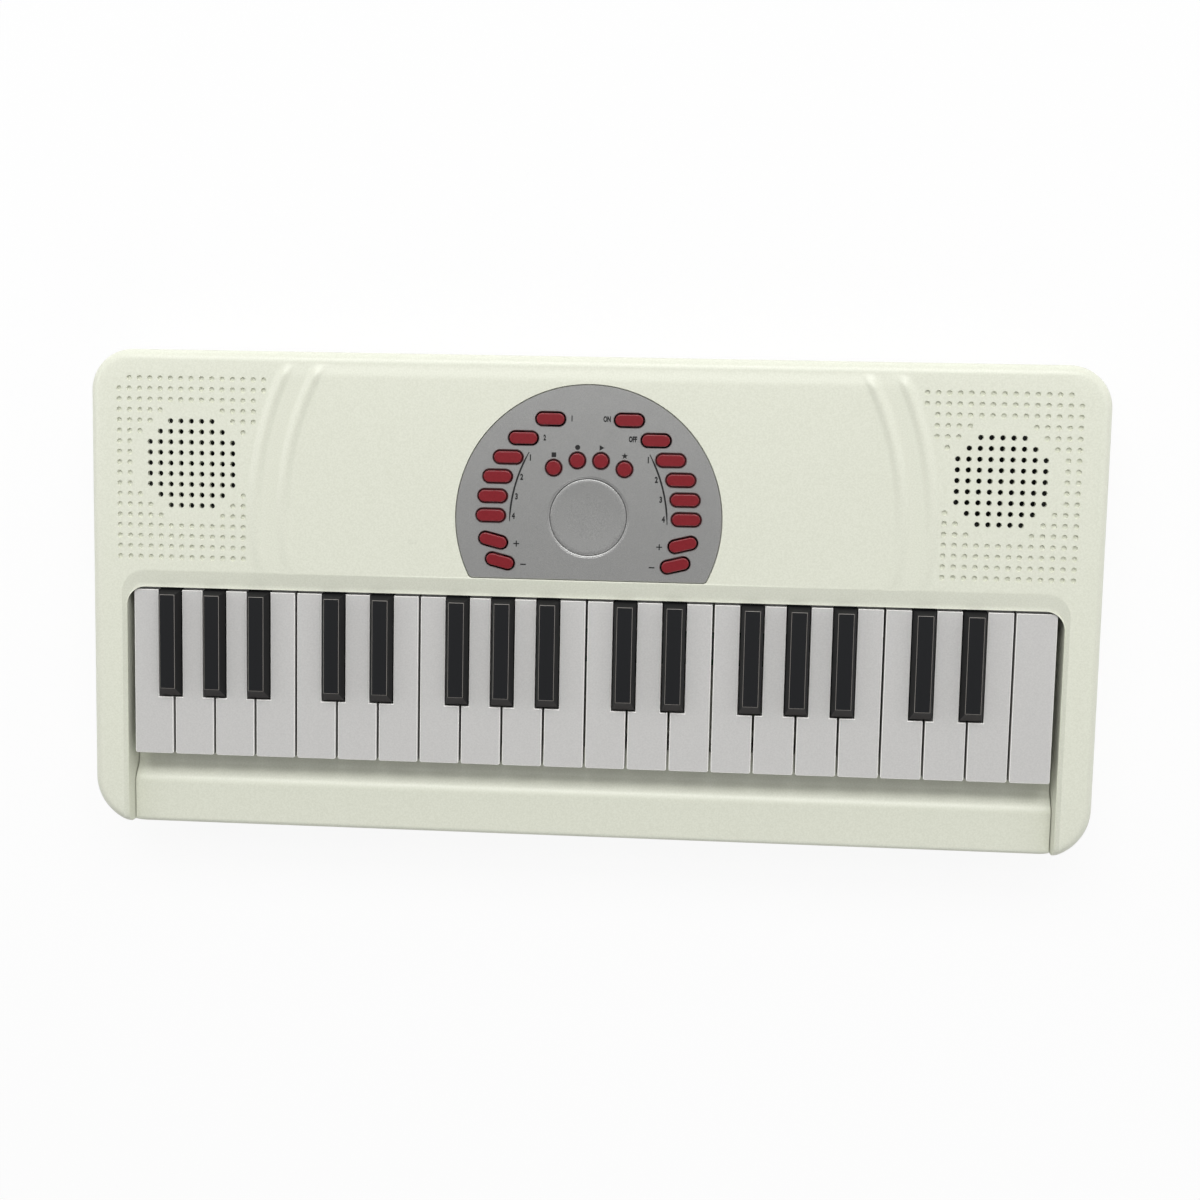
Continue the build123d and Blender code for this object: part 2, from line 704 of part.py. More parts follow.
def control_panel():
    panel = plate(d_plan(panel_radius, panel_front_y, panel_corner), panel_floor_z, panel_top_z)
    openings = [long_plan(name, cap_gap) for name in long_caps]
    openings += [round_plan(name, cap_gap) for name in round_caps]
    for opening in openings:
        panel -= plate(opening, panel_floor_z - past, panel_z + past)
    panel = chamfer(panel.faces().sort_by(Axis.Z)[-1].edges(), panel_edge)
    low = Pos(0, dish_y, panel_top_z - dish_depth) * Circle(dish_radius)
    high = Pos(0, dish_y, panel_top_z + hair) * Circle(dish_radius + dish_slope)
    panel -= loft([low, high], ruled=True)
    for x, y in panel_posts:
        foot = main_board_z + board_thickness
        panel += post(panel_post_radius, x, field_centre_y + y, foot, panel_floor_z + weld)
    for name in rockers:
        for ear in rocker_ears(name):
            panel += ear
    return panel


# ---------- inside ----------
def speaker(side):
    top = deck_floor_z - speaker_gap
    back = top - speaker_depth
    edge = speaker_radius
    points = [(0, back), (magnet_radius, back), (magnet_radius, back + magnet_depth)]
    points += [(edge - basket_rim, top - basket_rim), (edge, top - basket_rim), (edge, top)]
    points += [(edge - cone_rim, top), (dust_cap_radius, top - cone_depth), (0, top - dust_cap_depth)]
    return round_solid(points, side * speaker_x, speaker_y)


def main_board_solid():
    return at(Box(*main_board, board_thickness), 0, main_board_y, main_board_z + board_thickness / 2)


def key_board_solid():
    middle_z = key_board_z + board_thickness / 2
    return at(Box(key_board_length, key_board_depth, board_thickness), 0, key_board_y, middle_z)


def dome(x, y, z):
    low, high = dome_radii
    return at(Cone(low, high, dome_height), x, y, z + dome_height / 2)


def button_rubber():
    z = main_board_z + board_thickness
    length, depth = main_board[0] - 2 * mat_inset, main_board[1] - 2 * mat_inset
    mat = at(Box(length, depth, mat_thickness), 0, main_board_y, z + mat_thickness / 2)
    for x, y in panel_posts:
        mat -= post(panel_post_radius + mat_hole_gap, x, field_centre_y + y, z - past, z + 2 * past)
    for x, y, _ in long_caps.values():
        mat += dome(x, field_centre_y + y, z + mat_thickness)
    for x, y in round_caps.values():
        mat += dome(x, field_centre_y + y, z + mat_thickness)
    return mat


def key_rubber():
    z = key_board_z + board_thickness
    length, depth = key_board_length - 2 * mat_inset, key_board_depth - 2 * mat_inset
    strip = at(Box(length, depth, mat_thickness), 0, key_board_y, z + mat_thickness / 2)
    for index in range(white_count):
        strip += dome(neck_centre(index), key_board_y, z + mat_thickness)
        if black_centre(index) is not None:
            strip += dome(black_centre(index), key_board_y, z + mat_thickness)
    return strip


save("upper_case", upper_case())
save("lower_case", lower_case())
save("battery_door", battery_door())
save("control_panel", control_panel())
save("speakers", Compound([speaker(-1), speaker(1)]))
save("circuit_boards", Compound([main_board_solid(), key_board_solid()]))
save("contact_rubbers", Compound([button_rubber(), key_rubber()]))
for key_index in range(white_count):
    key_letter, key_octave = white_note(key_index)
    save(f"white_key_{key_letter}{key_octave}", white_key(key_index))
    if black_centre(key_index) is not None:
        save(f"black_key_{key_letter}_sharp_{key_octave}", black_key(key_index))
for rocker_name in rockers:
    save(rocker_name, rocker(rocker_name))
rocker_caps = [cap_name for pair in rockers.values() for cap_name in pair]
for cap_name in long_caps:
    if cap_name not in rocker_caps:
        save(f"{cap_name}_button", long_cap(cap_name))
for cap_name in round_caps:
    save(f"{cap_name}_button", round_cap(cap_name))
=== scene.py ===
import json
from math import acos, atan2, cos, degrees, hypot, radians, sin, sqrt

import bmesh
import bpy
from mathutils import Matrix, Vector
from mathutils.geometry import delaunay_2d_cdt


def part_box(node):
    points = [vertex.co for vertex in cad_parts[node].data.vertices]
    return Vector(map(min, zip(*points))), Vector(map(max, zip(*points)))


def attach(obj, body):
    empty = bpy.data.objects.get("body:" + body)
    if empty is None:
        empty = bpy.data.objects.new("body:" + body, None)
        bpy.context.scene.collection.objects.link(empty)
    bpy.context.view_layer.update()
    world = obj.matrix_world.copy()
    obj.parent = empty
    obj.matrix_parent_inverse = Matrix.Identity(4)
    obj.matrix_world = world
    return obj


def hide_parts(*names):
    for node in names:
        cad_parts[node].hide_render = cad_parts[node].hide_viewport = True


# A toy electronic keyboard. Blender's own values are in metres; outlines and sizes are in millimetres.
MM = 0.001

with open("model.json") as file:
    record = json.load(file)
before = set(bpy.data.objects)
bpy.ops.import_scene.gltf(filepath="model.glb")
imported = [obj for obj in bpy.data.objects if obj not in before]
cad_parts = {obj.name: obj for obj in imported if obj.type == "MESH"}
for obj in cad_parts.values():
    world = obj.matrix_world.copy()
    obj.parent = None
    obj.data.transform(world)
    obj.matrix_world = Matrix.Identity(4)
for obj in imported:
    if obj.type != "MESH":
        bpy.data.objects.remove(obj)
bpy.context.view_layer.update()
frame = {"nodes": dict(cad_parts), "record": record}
nodes = frame["nodes"]
scene = bpy.context.scene


# ---------- camera, light and floor ----------
def make_camera():
    """The main view: nearly straight down, from a little right of the middle."""
    sensor_width, lens, nearest = 36.0, 47.768, 0.01
    place = (0.0586, 0.0799, 0.7900)
    right = Vector((0.9971865, 0.0206483, -0.0720606))
    up = Vector((-0.0279833, 0.9943586, -0.1023131))
    back = Vector((0.0695415, 0.1040417, 0.9921388))
    data = bpy.data.cameras.new("camera")
    data.sensor_width, data.lens, data.clip_start = sensor_width, lens, nearest
    camera = bpy.data.objects.new("camera", data)
    turn = Matrix((right, up, back)).transposed().to_4x4()
    camera.matrix_world = Matrix.Translation(place) @ turn
    scene.collection.objects.link(camera)
    scene.camera = camera


def area_light(name, place, target, size, power):
    """A softbox; place, target and size are in metres, power is in watts."""
    data = bpy.data.lights.new(name, "AREA")
    data.shape = "RECTANGLE"
    data.size, data.size_y = size
    data.energy = power
    light = bpy.data.objects.new(name, data)
    direction = Vector(target) - Vector(place)
    turn = direction.to_track_quat("-Z", "Y").to_matrix().to_4x4()
    light.matrix_world = Matrix.Translation(place) @ turn
    scene.collection.objects.link(light)


def make_world():
    """A room that is dim overhead and bright low down, most of all at the rear. The camera sees white."""
    low_glow, rear_glow, right_glow, zenith = 0.25, 0.42, 0.02, 0.18
    rear_from, rear_to = 0.0, 0.08
    world = bpy.data.worlds.new("studio")
    scene.world = world
    world.use_nodes = True
    tree = world.node_tree
    tree.nodes.clear()
    add, link = tree.nodes.new, tree.links.new
    out, mix = add("ShaderNodeOutputWorld"), add("ShaderNodeMixShader")
    room, white = add("ShaderNodeBackground"), add("ShaderNodeBackground")
    direction = add("ShaderNodeSeparateXYZ")
    link(add("ShaderNodeTexCoord").outputs["Generated"], direction.inputs[0])
    behind = add("ShaderNodeMapRange")
    behind.interpolation_type = "SMOOTHSTEP"
    behind.inputs["From Min"].default_value = rear_from
    behind.inputs["From Max"].default_value = rear_to
    link(direction.outputs["Y"], behind.inputs["Value"])
    total = None
    for source, share in ((direction.outputs["Z"], -low_glow), (behind.outputs["Result"], rear_glow),
                          (direction.outputs["X"], right_glow)):
        step = add("ShaderNodeMath")
        step.operation = "MULTIPLY_ADD"
        link(source, step.inputs[0])
        step.inputs[1].default_value = share
        step.inputs[2].default_value = zenith + low_glow
        if total:
            link(total, step.inputs[2])
        total = step.outputs[0]
    link(total, room.inputs["Strength"])
    room.inputs["Color"].default_value = (1.0, 1.0, 1.0, 1.0)
    white.inputs["Color"].default_value = (1.0, 1.0, 1.0, 1.0)
    white.inputs["Strength"].default_value = 1.0
    link(add("ShaderNodeLightPath").outputs["Is Camera Ray"], mix.inputs["Fac"])
    link(room.outputs[0], mix.inputs[1])
    link(white.outputs[0], mix.inputs[2])
    link(mix.outputs[0], out.inputs[0])


def make_floor():
    """A pale floor that fades into the white behind it."""
    reach, paleness, fading = 6.0, 0.85, 0.9
    corners = [(-reach, -reach, 0), (reach, -reach, 0), (reach, reach, 0), (-reach, reach, 0)]
    mesh = bpy.data.meshes.new("floor")
    mesh.from_pydata(corners, [], [(0, 1, 2, 3)])
    floor = bpy.data.objects.new("floor", mesh)
    scene.collection.objects.link(floor)
    material = bpy.data.materials.new("floor")
    material.use_nodes = True
    tree = material.node_tree
    tree.nodes.clear()
    out = tree.nodes.new("ShaderNodeOutputMaterial")
    matt = tree.nodes.new("ShaderNodeBsdfDiffuse")
    matt.inputs["Color"].default_value = (paleness, paleness, paleness, 1)
    glow = tree.nodes.new("ShaderNodeEmission")
    path = tree.nodes.new("ShaderNodeLightPath")
    share = tree.nodes.new("ShaderNodeMath")
    share.operation = "MULTIPLY"
    share.inputs[1].default_value = fading
    mix = tree.nodes.new("ShaderNodeMixShader")
    tree.links.new(path.outputs["Is Camera Ray"], share.inputs[0])
    tree.links.new(share.outputs[0], mix.inputs["Fac"])
    tree.links.new(matt.outputs[0], mix.inputs[1])
    tree.links.new(glow.outputs[0], mix.inputs[2])
    tree.links.new(mix.outputs[0], out.inputs[0])
    mesh.materials.append(material)


make_camera()
make_world()
make_floor()
area_light("rear_softbox", (0.0, 1.15, 1.20), (0, 0, 0), (1.6, 0.6), 13.6)
area_light("top_softbox", (0.0, 0.68, 1.50), (0, 0, 0), (1.4, 0.3), 3.0)
area_light("front_softbox", (0.35, -1.30, 1.00), (0, 0, 0), (1.2, 0.6), 4.1)
area_light("left_softbox", (-0.62, 0.16, 0.34), (-0.16, 0.03, 0.03), (0.3, 0.3), 0.38)
area_light("right_softbox", (0.62, 0.16, 0.34), (0.16, 0.03, 0.03), (0.3, 0.3), 0.26)
scene.view_settings.view_transform = "Standard"


# ---------- materials ----------
def srgb(r, g, b):
    """A colour written as it is seen, 0 to 255, as Blender's linear values."""
    def linear(value):
        return value / 255 / 12.92 if value <= 10 else ((value / 255 + 0.055) / 1.055) ** 2.4
    return linear(r), linear(g), linear(b), 1.0


class Look:
    """A node material built up step by step around one Principled shader."""

    def __init__(self, name):
        self.material = bpy.data.materials.new(name)
        self.material.use_nodes = True
        self.tree = self.material.node_tree
        self.shader = self.tree.nodes["Principled BSDF"]
        self.coords = self.add("ShaderNodeTexCoord").outputs["Object"]

    def add(self, kind, **settings):
        """A new node, with its settings."""
        node = self.tree.nodes.new(kind)
        for key, value in settings.items():
            setattr(node, key, value)
        return node

    def link(self, source, target):
        self.tree.links.new(source, target)

    def noise(self, scale, detail=2.0):
        """A noise value; scale is in cells per metre."""
        node = self.add("ShaderNodeTexNoise")
        node.inputs["Scale"].default_value = scale
        node.inputs["Detail"].default_value = detail
        self.link(self.coords, node.inputs["Vector"])
        return node.outputs["Fac"]

    def tilt(self):
        """How far a face looks up: 1 for a top and 0 for a wall."""
        facing = self.add("ShaderNodeSeparateXYZ")
        self.link(self.add("ShaderNodeTexCoord").outputs["Normal"], facing.inputs[0])
        return facing.outputs["Z"]

    def ramp(self, value, *stops):
        """A colour ramp with (place, colour) stops."""
        node = self.add("ShaderNodeValToRGB")
        elements = node.color_ramp.elements
        while len(elements) < len(stops):
            elements.new(0.5)
        for element, (place, colour) in zip(elements, stops):
            element.position = place
            element.color = colour
        self.link(value, node.inputs["Fac"])
        return node.outputs["Color"]

    def spread(self, value, low, high, start=0.0, end=1.0):
        """A value from start to end, spread from low to high."""
        node = self.add("ShaderNodeMapRange")
        for key, number in (("From Min", start), ("From Max", end), ("To Min", low), ("To Max", high)):
            node.inputs[key].default_value = number
        self.link(value, node.inputs["Value"])
        return node.outputs["Result"]

    def bump(self, *layers):
        """Bump from (height value, distance in metres) layers."""
        normal = None
        for value, distance in layers:
            node = self.add("ShaderNodeBump")
            node.inputs["Distance"].default_value = distance
            node.inputs["Strength"].default_value = 1.0
            self.link(value, node.inputs["Height"])
            if normal:
                self.link(normal, node.inputs["Normal"])
            normal = node.outputs["Normal"]
        self.link(normal, self.shader.inputs["Normal"])

    def colour(self, source):
        self.link(source, self.shader.inputs["Base Color"])

    def rough(self, source):
        self.link(source, self.shader.inputs["Roughness"])


# Cells per metre of the textures: speckle of the colour, patches of gloss, grain and waves of the surface.
speckle_scale, gloss_scale, grain_scale, wave_scale = 1300.0, 60.0, 2600.0, 160.0
dark_end, light_end = 0.35, 0.65        # noise values with the darkest and the lightest colour
gloss_change = 0.05


def plastic(name, dark, light, roughness, grain):
    """Moulded plastic: a fine speckle of colour, uneven gloss and the fine grain of the tool."""
    look = Look(name)
    look.colour(look.ramp(look.noise(speckle_scale, 3.0), (dark_end, dark), (light_end, light)))
    patches = look.noise(gloss_scale, 3.0)
    look.rough(look.spread(patches, roughness - gloss_change, roughness + gloss_change))
    look.bump((look.noise(grain_scale), grain), (look.noise(wave_scale), 4 * grain))
    return look.material


def silver(name):
    """Silver paint on the tops and chamfers of a dark moulding; the near black of the walls is partly that
    moulding and partly painted shade, which darkens the gaps round the buttons and the disc's groove.
    """
    flake_scale, steepest_painted, metal = 3600.0, 0.5, 0.62
    glossiest, mattest, paint_scale, paint_grain = 0.28, 0.34, 5200.0, 0.000003
    look = Look(name)
    paint = look.ramp(look.noise(flake_scale, 1.0),
                      (dark_end, srgb(163, 163, 162)), (light_end, srgb(191, 191, 189)))
    painted = look.add("ShaderNodeMath", operation="GREATER_THAN")
    painted.inputs[1].default_value = steepest_painted
    look.link(look.tilt(), painted.inputs[0])
    mix = look.add("ShaderNodeMix", data_type="RGBA")
    look.link(painted.outputs[0], mix.inputs["Factor"])
    # Near black on the walls: the dark moulding, and painted shade in the gaps and grooves.
    mix.inputs["A"].default_value = srgb(28, 28, 29)
    look.link(paint, mix.inputs["B"])
    look.colour(mix.outputs["Result"])
    look.link(look.spread(painted.outputs[0], 0.0, metal), look.shader.inputs["Metallic"])
    look.rough(look.spread(look.noise(wave_scale), glossiest, mattest))
    look.bump((look.noise(paint_scale), paint_grain))
    return look.material


def key_plastic(name, top, edge, front, side, edge_from, edge_to, roughness, grain):
    """Plastic of a key, coloured by how far a face looks up: the top has the key's own colour, the steep
    sides carry painted shade, the sloping fronts another tone that paints how they catch the light, and the
    rounded edges a painted highlight.

    The places from side_to on say how far a face looks up, as tilt() does."""
    side_to, front_from, front_to, top_from = edge_from * 0.6, edge_from * 0.8, edge_from - 0.03, 0.985
    matt_to, side_roughness = edge_from - 0.08, 0.8
    look = Look(name)
    # This ramp paints light and shade: painted shade on the sides, painted light on the fronts, a painted
    # highlight on the rounded edges.
    tone = look.ramp(look.tilt(), (side_to, side), (front_from, front), (front_to, front),
                     (edge_from, edge), (edge_to, edge), (top_from, top))
    speckle = look.ramp(look.noise(speckle_scale, 3.0),
                        (dark_end, srgb(246, 246, 246)), (light_end, srgb(255, 255, 255)))
    mix = look.add("ShaderNodeMix", data_type="RGBA", blend_type="MULTIPLY")
    mix.inputs["Factor"].default_value = 1.0
    look.link(tone, mix.inputs["A"])
    look.link(speckle, mix.inputs["B"])
    look.colour(mix.outputs["Result"])
    look.rough(look.spread(look.tilt(), side_roughness, roughness, matt_to, edge_to))
    look.bump((look.noise(grain_scale), grain))
    return look.material


looks = {
    "case_top": plastic("ivory_case", srgb(218, 220, 204), srgb(226, 228, 213), 0.30, 0.000002),
    "case_base": plastic("ivory_base", srgb(217, 219, 203), srgb(225, 227, 212), 0.30, 0.000002),
    "door": plastic("ivory_door", srgb(214, 216, 200), srgb(220, 222, 207), 0.40, 0.000006),
    "panel": silver("silver_panel"),
    # After each key's top colour come its painted highlight for the rounded edges, the painted tone of its
    # sloping front and the painted shade of its steep sides.
    "white_keys": key_plastic("white_key", srgb(203, 202, 200), srgb(250, 249, 245), srgb(200, 199, 196),
                              srgb(164, 163, 160), 0.24, 0.95, 0.24, 0.000001),
    "black_keys": key_plastic("black_key", srgb(27, 28, 30), srgb(146, 141, 135), srgb(58, 56, 55),
                              srgb(5, 5, 6), 0.76, 0.955, 0.26, 0.000001),
    "buttons": plastic("red_button", srgb(123, 30, 37), srgb(131, 34, 42), 0.20, 0.000001),
    "boards": plastic("green_board", srgb(44, 88, 56), srgb(52, 98, 64), 0.35, 0.000001),
    "rubbers": plastic("grey_rubber", srgb(112, 114, 116), srgb(124, 126, 128), 0.6, 0.000002),
    "speakers": plastic("black_paper", srgb(34, 34, 35), srgb(46, 46, 47), 0.75, 0.00001),
}
for part in frame["record"]["subparts"]:
    node = nodes[part["node"]]
    node.data.materials.clear()
    node.data.materials.append(looks[part["material_slot"]])


# ---------- mesh helpers, in millimetres ----------
def box_mm(name):
    """A node's lowest and highest corners."""
    low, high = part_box(name)
    return Vector(low) / MM, Vector(high) / MM


def soft(t):
    """A smooth step from 0 to 1."""
    t = min(max(t, 0.0), 1.0)
    return t * t * (3 - 2 * t)


def arc(x, y, radius, first, last, steps):
    """Points on an arc, angles in degrees from +X."""
    turns = [radians(first + (last - first) * i / steps) for i in range(steps + 1)]
    return [(x + radius * cos(turn), y + radius * sin(turn)) for turn in turns]


def circle(x, y, radius, steps):
    """A closed loop of points, without the first one again at its end."""
    return arc(x, y, radius, 0, 360, steps)[:-1]


def apart(p, q):
    """The distance between two plan points."""
    return hypot(q[0] - p[0], q[1] - p[1])


def line(start, end, step):
    """Points from start to end, about one step apart."""
    count = max(1, round(apart(start, end) / step))
    return [(start[0] + (end[0] - start[0]) * i / count, start[1] + (end[1] - start[1]) * i / count)
            for i in range(count + 1)]


def lift(points, z):
    """Plan points at a height."""
    return [(x, y, z) for x, y in points]


def inside_loop(points):
    """A test for plan points inside a closed loop."""
    sides = list(zip(points, points[1:] + points[:1]))

    def inside(x, y):
        crossings = 0
        for (x0, y0), (x1, y1) in sides:
            if (y0 > y) != (y1 > y) and x < x0 + (x1 - x0) * (y - y0) / (y1 - y0):
                crossings += 1
        return crossings % 2 == 1
    return inside


class Shape:
    """Points and faces gathered for one piece."""

    def __init__(self):
        self.verts, self.faces = [], []

    def ring(self, points):
        """Adds points and gives their numbers."""
        start = len(self.verts)
        self.verts.extend(points)
        return list(range(start, len(self.verts)))

    def face(self, points):
        self.faces.append(tuple(self.ring(points)))

    def band(self, first, second, closed=True):
        """Quads between two rows with as many points."""
        a, b = self.ring(first), self.ring(second)
        for i in range(len(a) if closed else len(a) - 1):
            j = (i + 1) % len(a)
            self.faces.append((a[i], a[j], b[j], b[i]))

    def bands(self, *rows):
        for first, second in zip(rows, rows[1:]):
            self.band(first, second)

    def skin(self, loops, lines, inside, height):
        """A surface over closed loops and open lines in plan, where inside(x, y), at height(x, y).

        Gives the faces made."""
        points, edges = [], []
        for row, closed in [(loop, True) for loop in loops] + [(row, False) for row in lines]:
            start, count = len(points), len(row)
            points.extend(Vector(p) for p in row)
            sides = count if closed else count - 1
            edges.extend((start + i, start + (i + 1) % count) for i in range(sides))
        flat, _, faces, *_ = delaunay_2d_cdt(points, edges, [], 0, 1e-5)
        start = len(self.verts)
        self.verts.extend((p.x, p.y, height(p.x, p.y)) for p in flat)
        made = []
        for face in faces:
            x = sum(flat[i].x for i in face) / len(face)
            y = sum(flat[i].y for i in face) / len(face)
            if inside(x, y):
                made.append(tuple(start + i for i in face))
        self.faces.extend(made)
        return made

    def rims(self, faces):
        """The closed loops of points round the given faces."""
        sides = {(a, b) for face in faces for a, b in zip(face, face[1:] + face[:1])}
        after = {a: b for a, b in sides if (b, a) not in sides}
        loops = []
        while after:
            start = min(after)
            loop, step = [start], after.pop(start)
            while step != start:
                loop.append(step)
                step = after.pop(step)
            loops.append([self.verts[i] for i in loop])
        return loops

    def piece(self, name, material, slot, replaced=None, crease=40.0):
        """The finished piece: welded, and shaded smooth up to an angle."""
        mesh = bpy.data.meshes.new(name)
        bm = bmesh.new()
        made = [bm.verts.new(Vector(v) * MM) for v in self.verts]
        for face in self.faces:
            if len(set(face)) > 2:
                bm.faces.new([made[i] for i in face])
        bmesh.ops.remove_doubles(bm, verts=bm.verts, dist=2e-6)
        bmesh.ops.delete(bm, geom=[v for v in bm.verts if not v.link_faces], context="VERTS")
        bmesh.ops.recalc_face_normals(bm, faces=bm.faces)
        for face in bm.faces:
            face.smooth = True
        for edge in bm.edges:
            if len(edge.link_faces) == 2 and edge.calc_face_angle() > radians(crease):
                edge.smooth = False
        bm.to_mesh(mesh)
        bm.free()
        settle(mesh, name, material, replaced)


def settle(mesh, name, material, replaced=None):
    """Makes a mesh a piece of the model; every piece made here rides on the case."""
    mesh.materials.clear()
    mesh.materials.append(material)
    piece = bpy.data.objects.new(name, mesh)
    scene.collection.objects.link(piece)
    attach(piece, "case")
    if replaced:
        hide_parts(replaced)


# ---------- sizes of the case ----------
top_low, top_high = box_mm("upper_case")
panel_low, panel_high = box_mm("control_panel")
speakers_low, speakers_high = box_mm("speakers")
case_half, rear_y, front_y = top_high.x, top_high.y, box_mm("lower_case")[0].y
split_z = top_low.z                             # the parting line of the two case halves
rear_corner, front_corner, top_edge = 20.0, 24.0, 5.0
wall, deck_thickness, seam_edge = 2.5, 2.0, 0.4
bead_radii = (159.0, 145.3)
bead_rise, bead_outer, bead_inner = 1.45, 4.2, 3.4
bead_low_share = 0.45                           # the beads are lower at the front and full at the rear
bead_start, bead_full, bead_end = 9.0, 60.0, 7.5    # lengths over which they rise and die out
field_step, field_corner, field_fade = 0.35, 7.0, 12.0
field_edge = 0.1                                # the fields are at full height this far inside their front
packed_bead_rise = 0.70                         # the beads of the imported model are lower
deck_z = top_high.z - packed_bead_rise - field_step
rear_roll, rear_roll_drop = 13.0, 0.45          # the deck falls off a little before its rounded rear edge
deck_floor_z = deck_z - deck_thickness
panel_gap, panel_rim, panel_corner, panel_thickness = 0.3, 0.8, 2.5, 2.2
pocket_edge = 0.15                              # chamfer round the panel's pocket
ledge, ledge_thickness = 2.3, 2.4               # the ledge that carries the panel
panel_radius = (panel_high.x - panel_low.x) / 2
panel_floor_z = panel_high.z - panel_thickness
field_centre_y = panel_high.y - panel_radius
field_front_y = panel_low.y - panel_rim
lip_slope, cheek_slope, bay_corner = 8.2, 2.0, 9.0
lip_drop, lip_round = 1.8, 0.12
lip_rise, lip_rim = 0.3, 0.1                    # the fine rim along the lip: height, and share of the strip
cheek_width = 16.9
bay_half = case_half - cheek_width
bay_rear_y = field_front_y - lip_slope
bay_turn_y = bay_rear_y - bay_corner            # where the sides of the bay begin to turn in
speaker_radius, speaker_gap, speaker_ring_height = 26.0, 0.3, 5.0
seat_lap = 0.5                                  # the speaker seats reach this far into the deck
speaker_x = speakers_high.x - speaker_radius
speaker_y = (speakers_low.y + speakers_high.y) / 2
grille_pitch, middle_column, row_count = 5.0, 8, 18
# Rings of a hole and of a dimple, from outside in: radius and depth.
hole_rings = ((1.32, 0.0), (1.2, 0.17))
dimple_rings = ((1.34, 0.0), (1.22, 0.17), (1.14, 1.0))
mark_steps = 10
same_place = 1e-3                               # two lengths nearer than this are the same


# ---------- upper case: its top surface ----------
def outline_depth(x, y):
    """How far inside the outline of the case a point lies."""
    radius = rear_corner if y > 0 else front_corner
    across, along = case_half - abs(x), (rear_y - y if y > 0 else y - front_y)
    if across < radius and along < radius:
        return radius - hypot(radius - across, radius - along)
    return min(across, along)


def lip_distance(x, y):
    """How far outside the lip of the key bay a point lies."""
    across, along = abs(x) - bay_half + bay_corner, y - bay_turn_y
    return hypot(max(across, 0), max(along, 0)) + min(max(across, along), 0) - bay_corner


def roll_share(x, y):
    """0 at the lip of the key bay and 1 at the deck, across the rolled strip round the bay."""
    across, along = abs(x) - bay_half + bay_corner, y - bay_turn_y
    shift = lip_slope - cheek_slope
    if across <= 0:
        return (along - bay_corner) / lip_slope
    share = (across - bay_corner) / cheek_slope
    if along <= shift * share:
        return share
    # At a share the corner has the radius bay_corner + cheek_slope * share,
    # and its centre lies shift * share further back.
    a = shift ** 2 - cheek_slope ** 2
    b = along * shift + bay_corner * cheek_slope
    c = across ** 2 + along ** 2 - bay_corner ** 2
    return (b - sqrt(max(b * b - a * c, 0.0))) / a


def d_corner(radius, cut_y, corner):
    """The centre of the right front corner of a disc with a straight front."""
    corner_y = cut_y + corner
    return sqrt((radius - corner) ** 2 - (corner_y - field_centre_y) ** 2), corner_y


def d_depth(x, y, radius, cut_y, corner):
    """How far inside such a disc a point lies."""
    corner_x, corner_y = d_corner(radius, cut_y, corner)
    past, up = abs(x) - corner_x, y - corner_y
    if past > 0 and corner_x * up < (corner_y - field_centre_y) * past:
        return corner - hypot(past, up)
    return min(radius - hypot(x, y - field_centre_y), y - cut_y)


def d_loop(radius, cut_y, corner, steps=120, corner_steps=6):
    """The outline of such a disc."""
    corner_x, corner_y = d_corner(radius, cut_y, corner)
    turn = degrees(atan2(corner_y - field_centre_y, corner_x))
    right = arc(corner_x, corner_y, corner, -90, turn, corner_steps)
    left = [(-x, y) for x, y in reversed(right)]
    return right + arc(0, field_centre_y, radius, turn, 180 - turn, steps)[1:-1] + left


def relief(x, y):
    """Height of the two raised fields and their beads over the plain deck."""
    rise = 0.0
    behind_front = y - field_front_y
    share = soft(behind_front / field_fade)
    bead_share = bead_low_share + (1 - bead_low_share) * soft(behind_front / bead_full)
    bead_share *= soft(behind_front / bead_start)
    outer, inner = bead_outer * share + lip_slope * (1 - share), field_edge * (1 - share)
    for radius in bead_radii:
        depth = d_depth(x, y, radius, field_front_y, field_corner)
        climb = (depth + outer) / (outer + inner)
        rise += field_step * (soft(climb) * share + min(max(climb, 0.0), 1.0) * (1 - share))
        inward = radius - hypot(x, y - field_centre_y)
        crest = soft((inward + bead_outer) / bead_outer) if inward < 0 else 1 - soft(inward / bead_inner)
        rise += (bead_rise - field_step) * crest * bead_share
    return rise * soft((rear_y - top_edge - y) / bead_end)


def blind_columns(row):
    """The columns of a row of a grille that have only a dimple."""
    spans = {0: "2-15", 1: "1-15", 2: "1-14", 3: "1-5 11-14", 4: "1-4 12-14", 5: "1-3 13-13",
             11: "1-3 13-13", 12: "1-4 12-13", 13: "1-5 11-13"}
    for span in spans.get(row, "1-2" if row < 14 else "1-13").split():
        first, last = span.split("-")
        yield from range(int(first), int(last) + 1)


marks = {}      # (side, row, column) -> the rings of a hole or dimple
open_counts = dict(zip(range(4, 13), (5, 7, 9, 9, 9, 9, 9, 7, 5)))     # row -> how many open holes
for side in (-1, 1):
    for row in range(row_count):
        for column in blind_columns(row):
            marks[side, row, column] = dimple_rings
        if row in open_counts:
            reach = open_counts[row] // 2
            for column in range(middle_column - reach, middle_column + reach + 1):
                marks[side, row, column] = hole_rings


def mark_place(mark):
    """The centre of a hole or dimple; row and column middle_column lie over the middle of the speaker."""
    side, row, column = mark
    out, back = (middle_column - column) * grille_pitch, (middle_column - row) * grille_pitch
    return side * (speaker_x + out), speaker_y + back


def nearest_mark(x, y):
    """The rings of the hole or dimple at a point, and the distance to its centre."""
    row = middle_column - round((y - speaker_y) / grille_pitch)
    column = middle_column - round((abs(x) - speaker_x) / grille_pitch)
    mark = (1 if x > 0 else -1, row, column)
    if mark not in marks:
        return None, 0.0
    return marks[mark], apart((x, y), mark_place(mark))


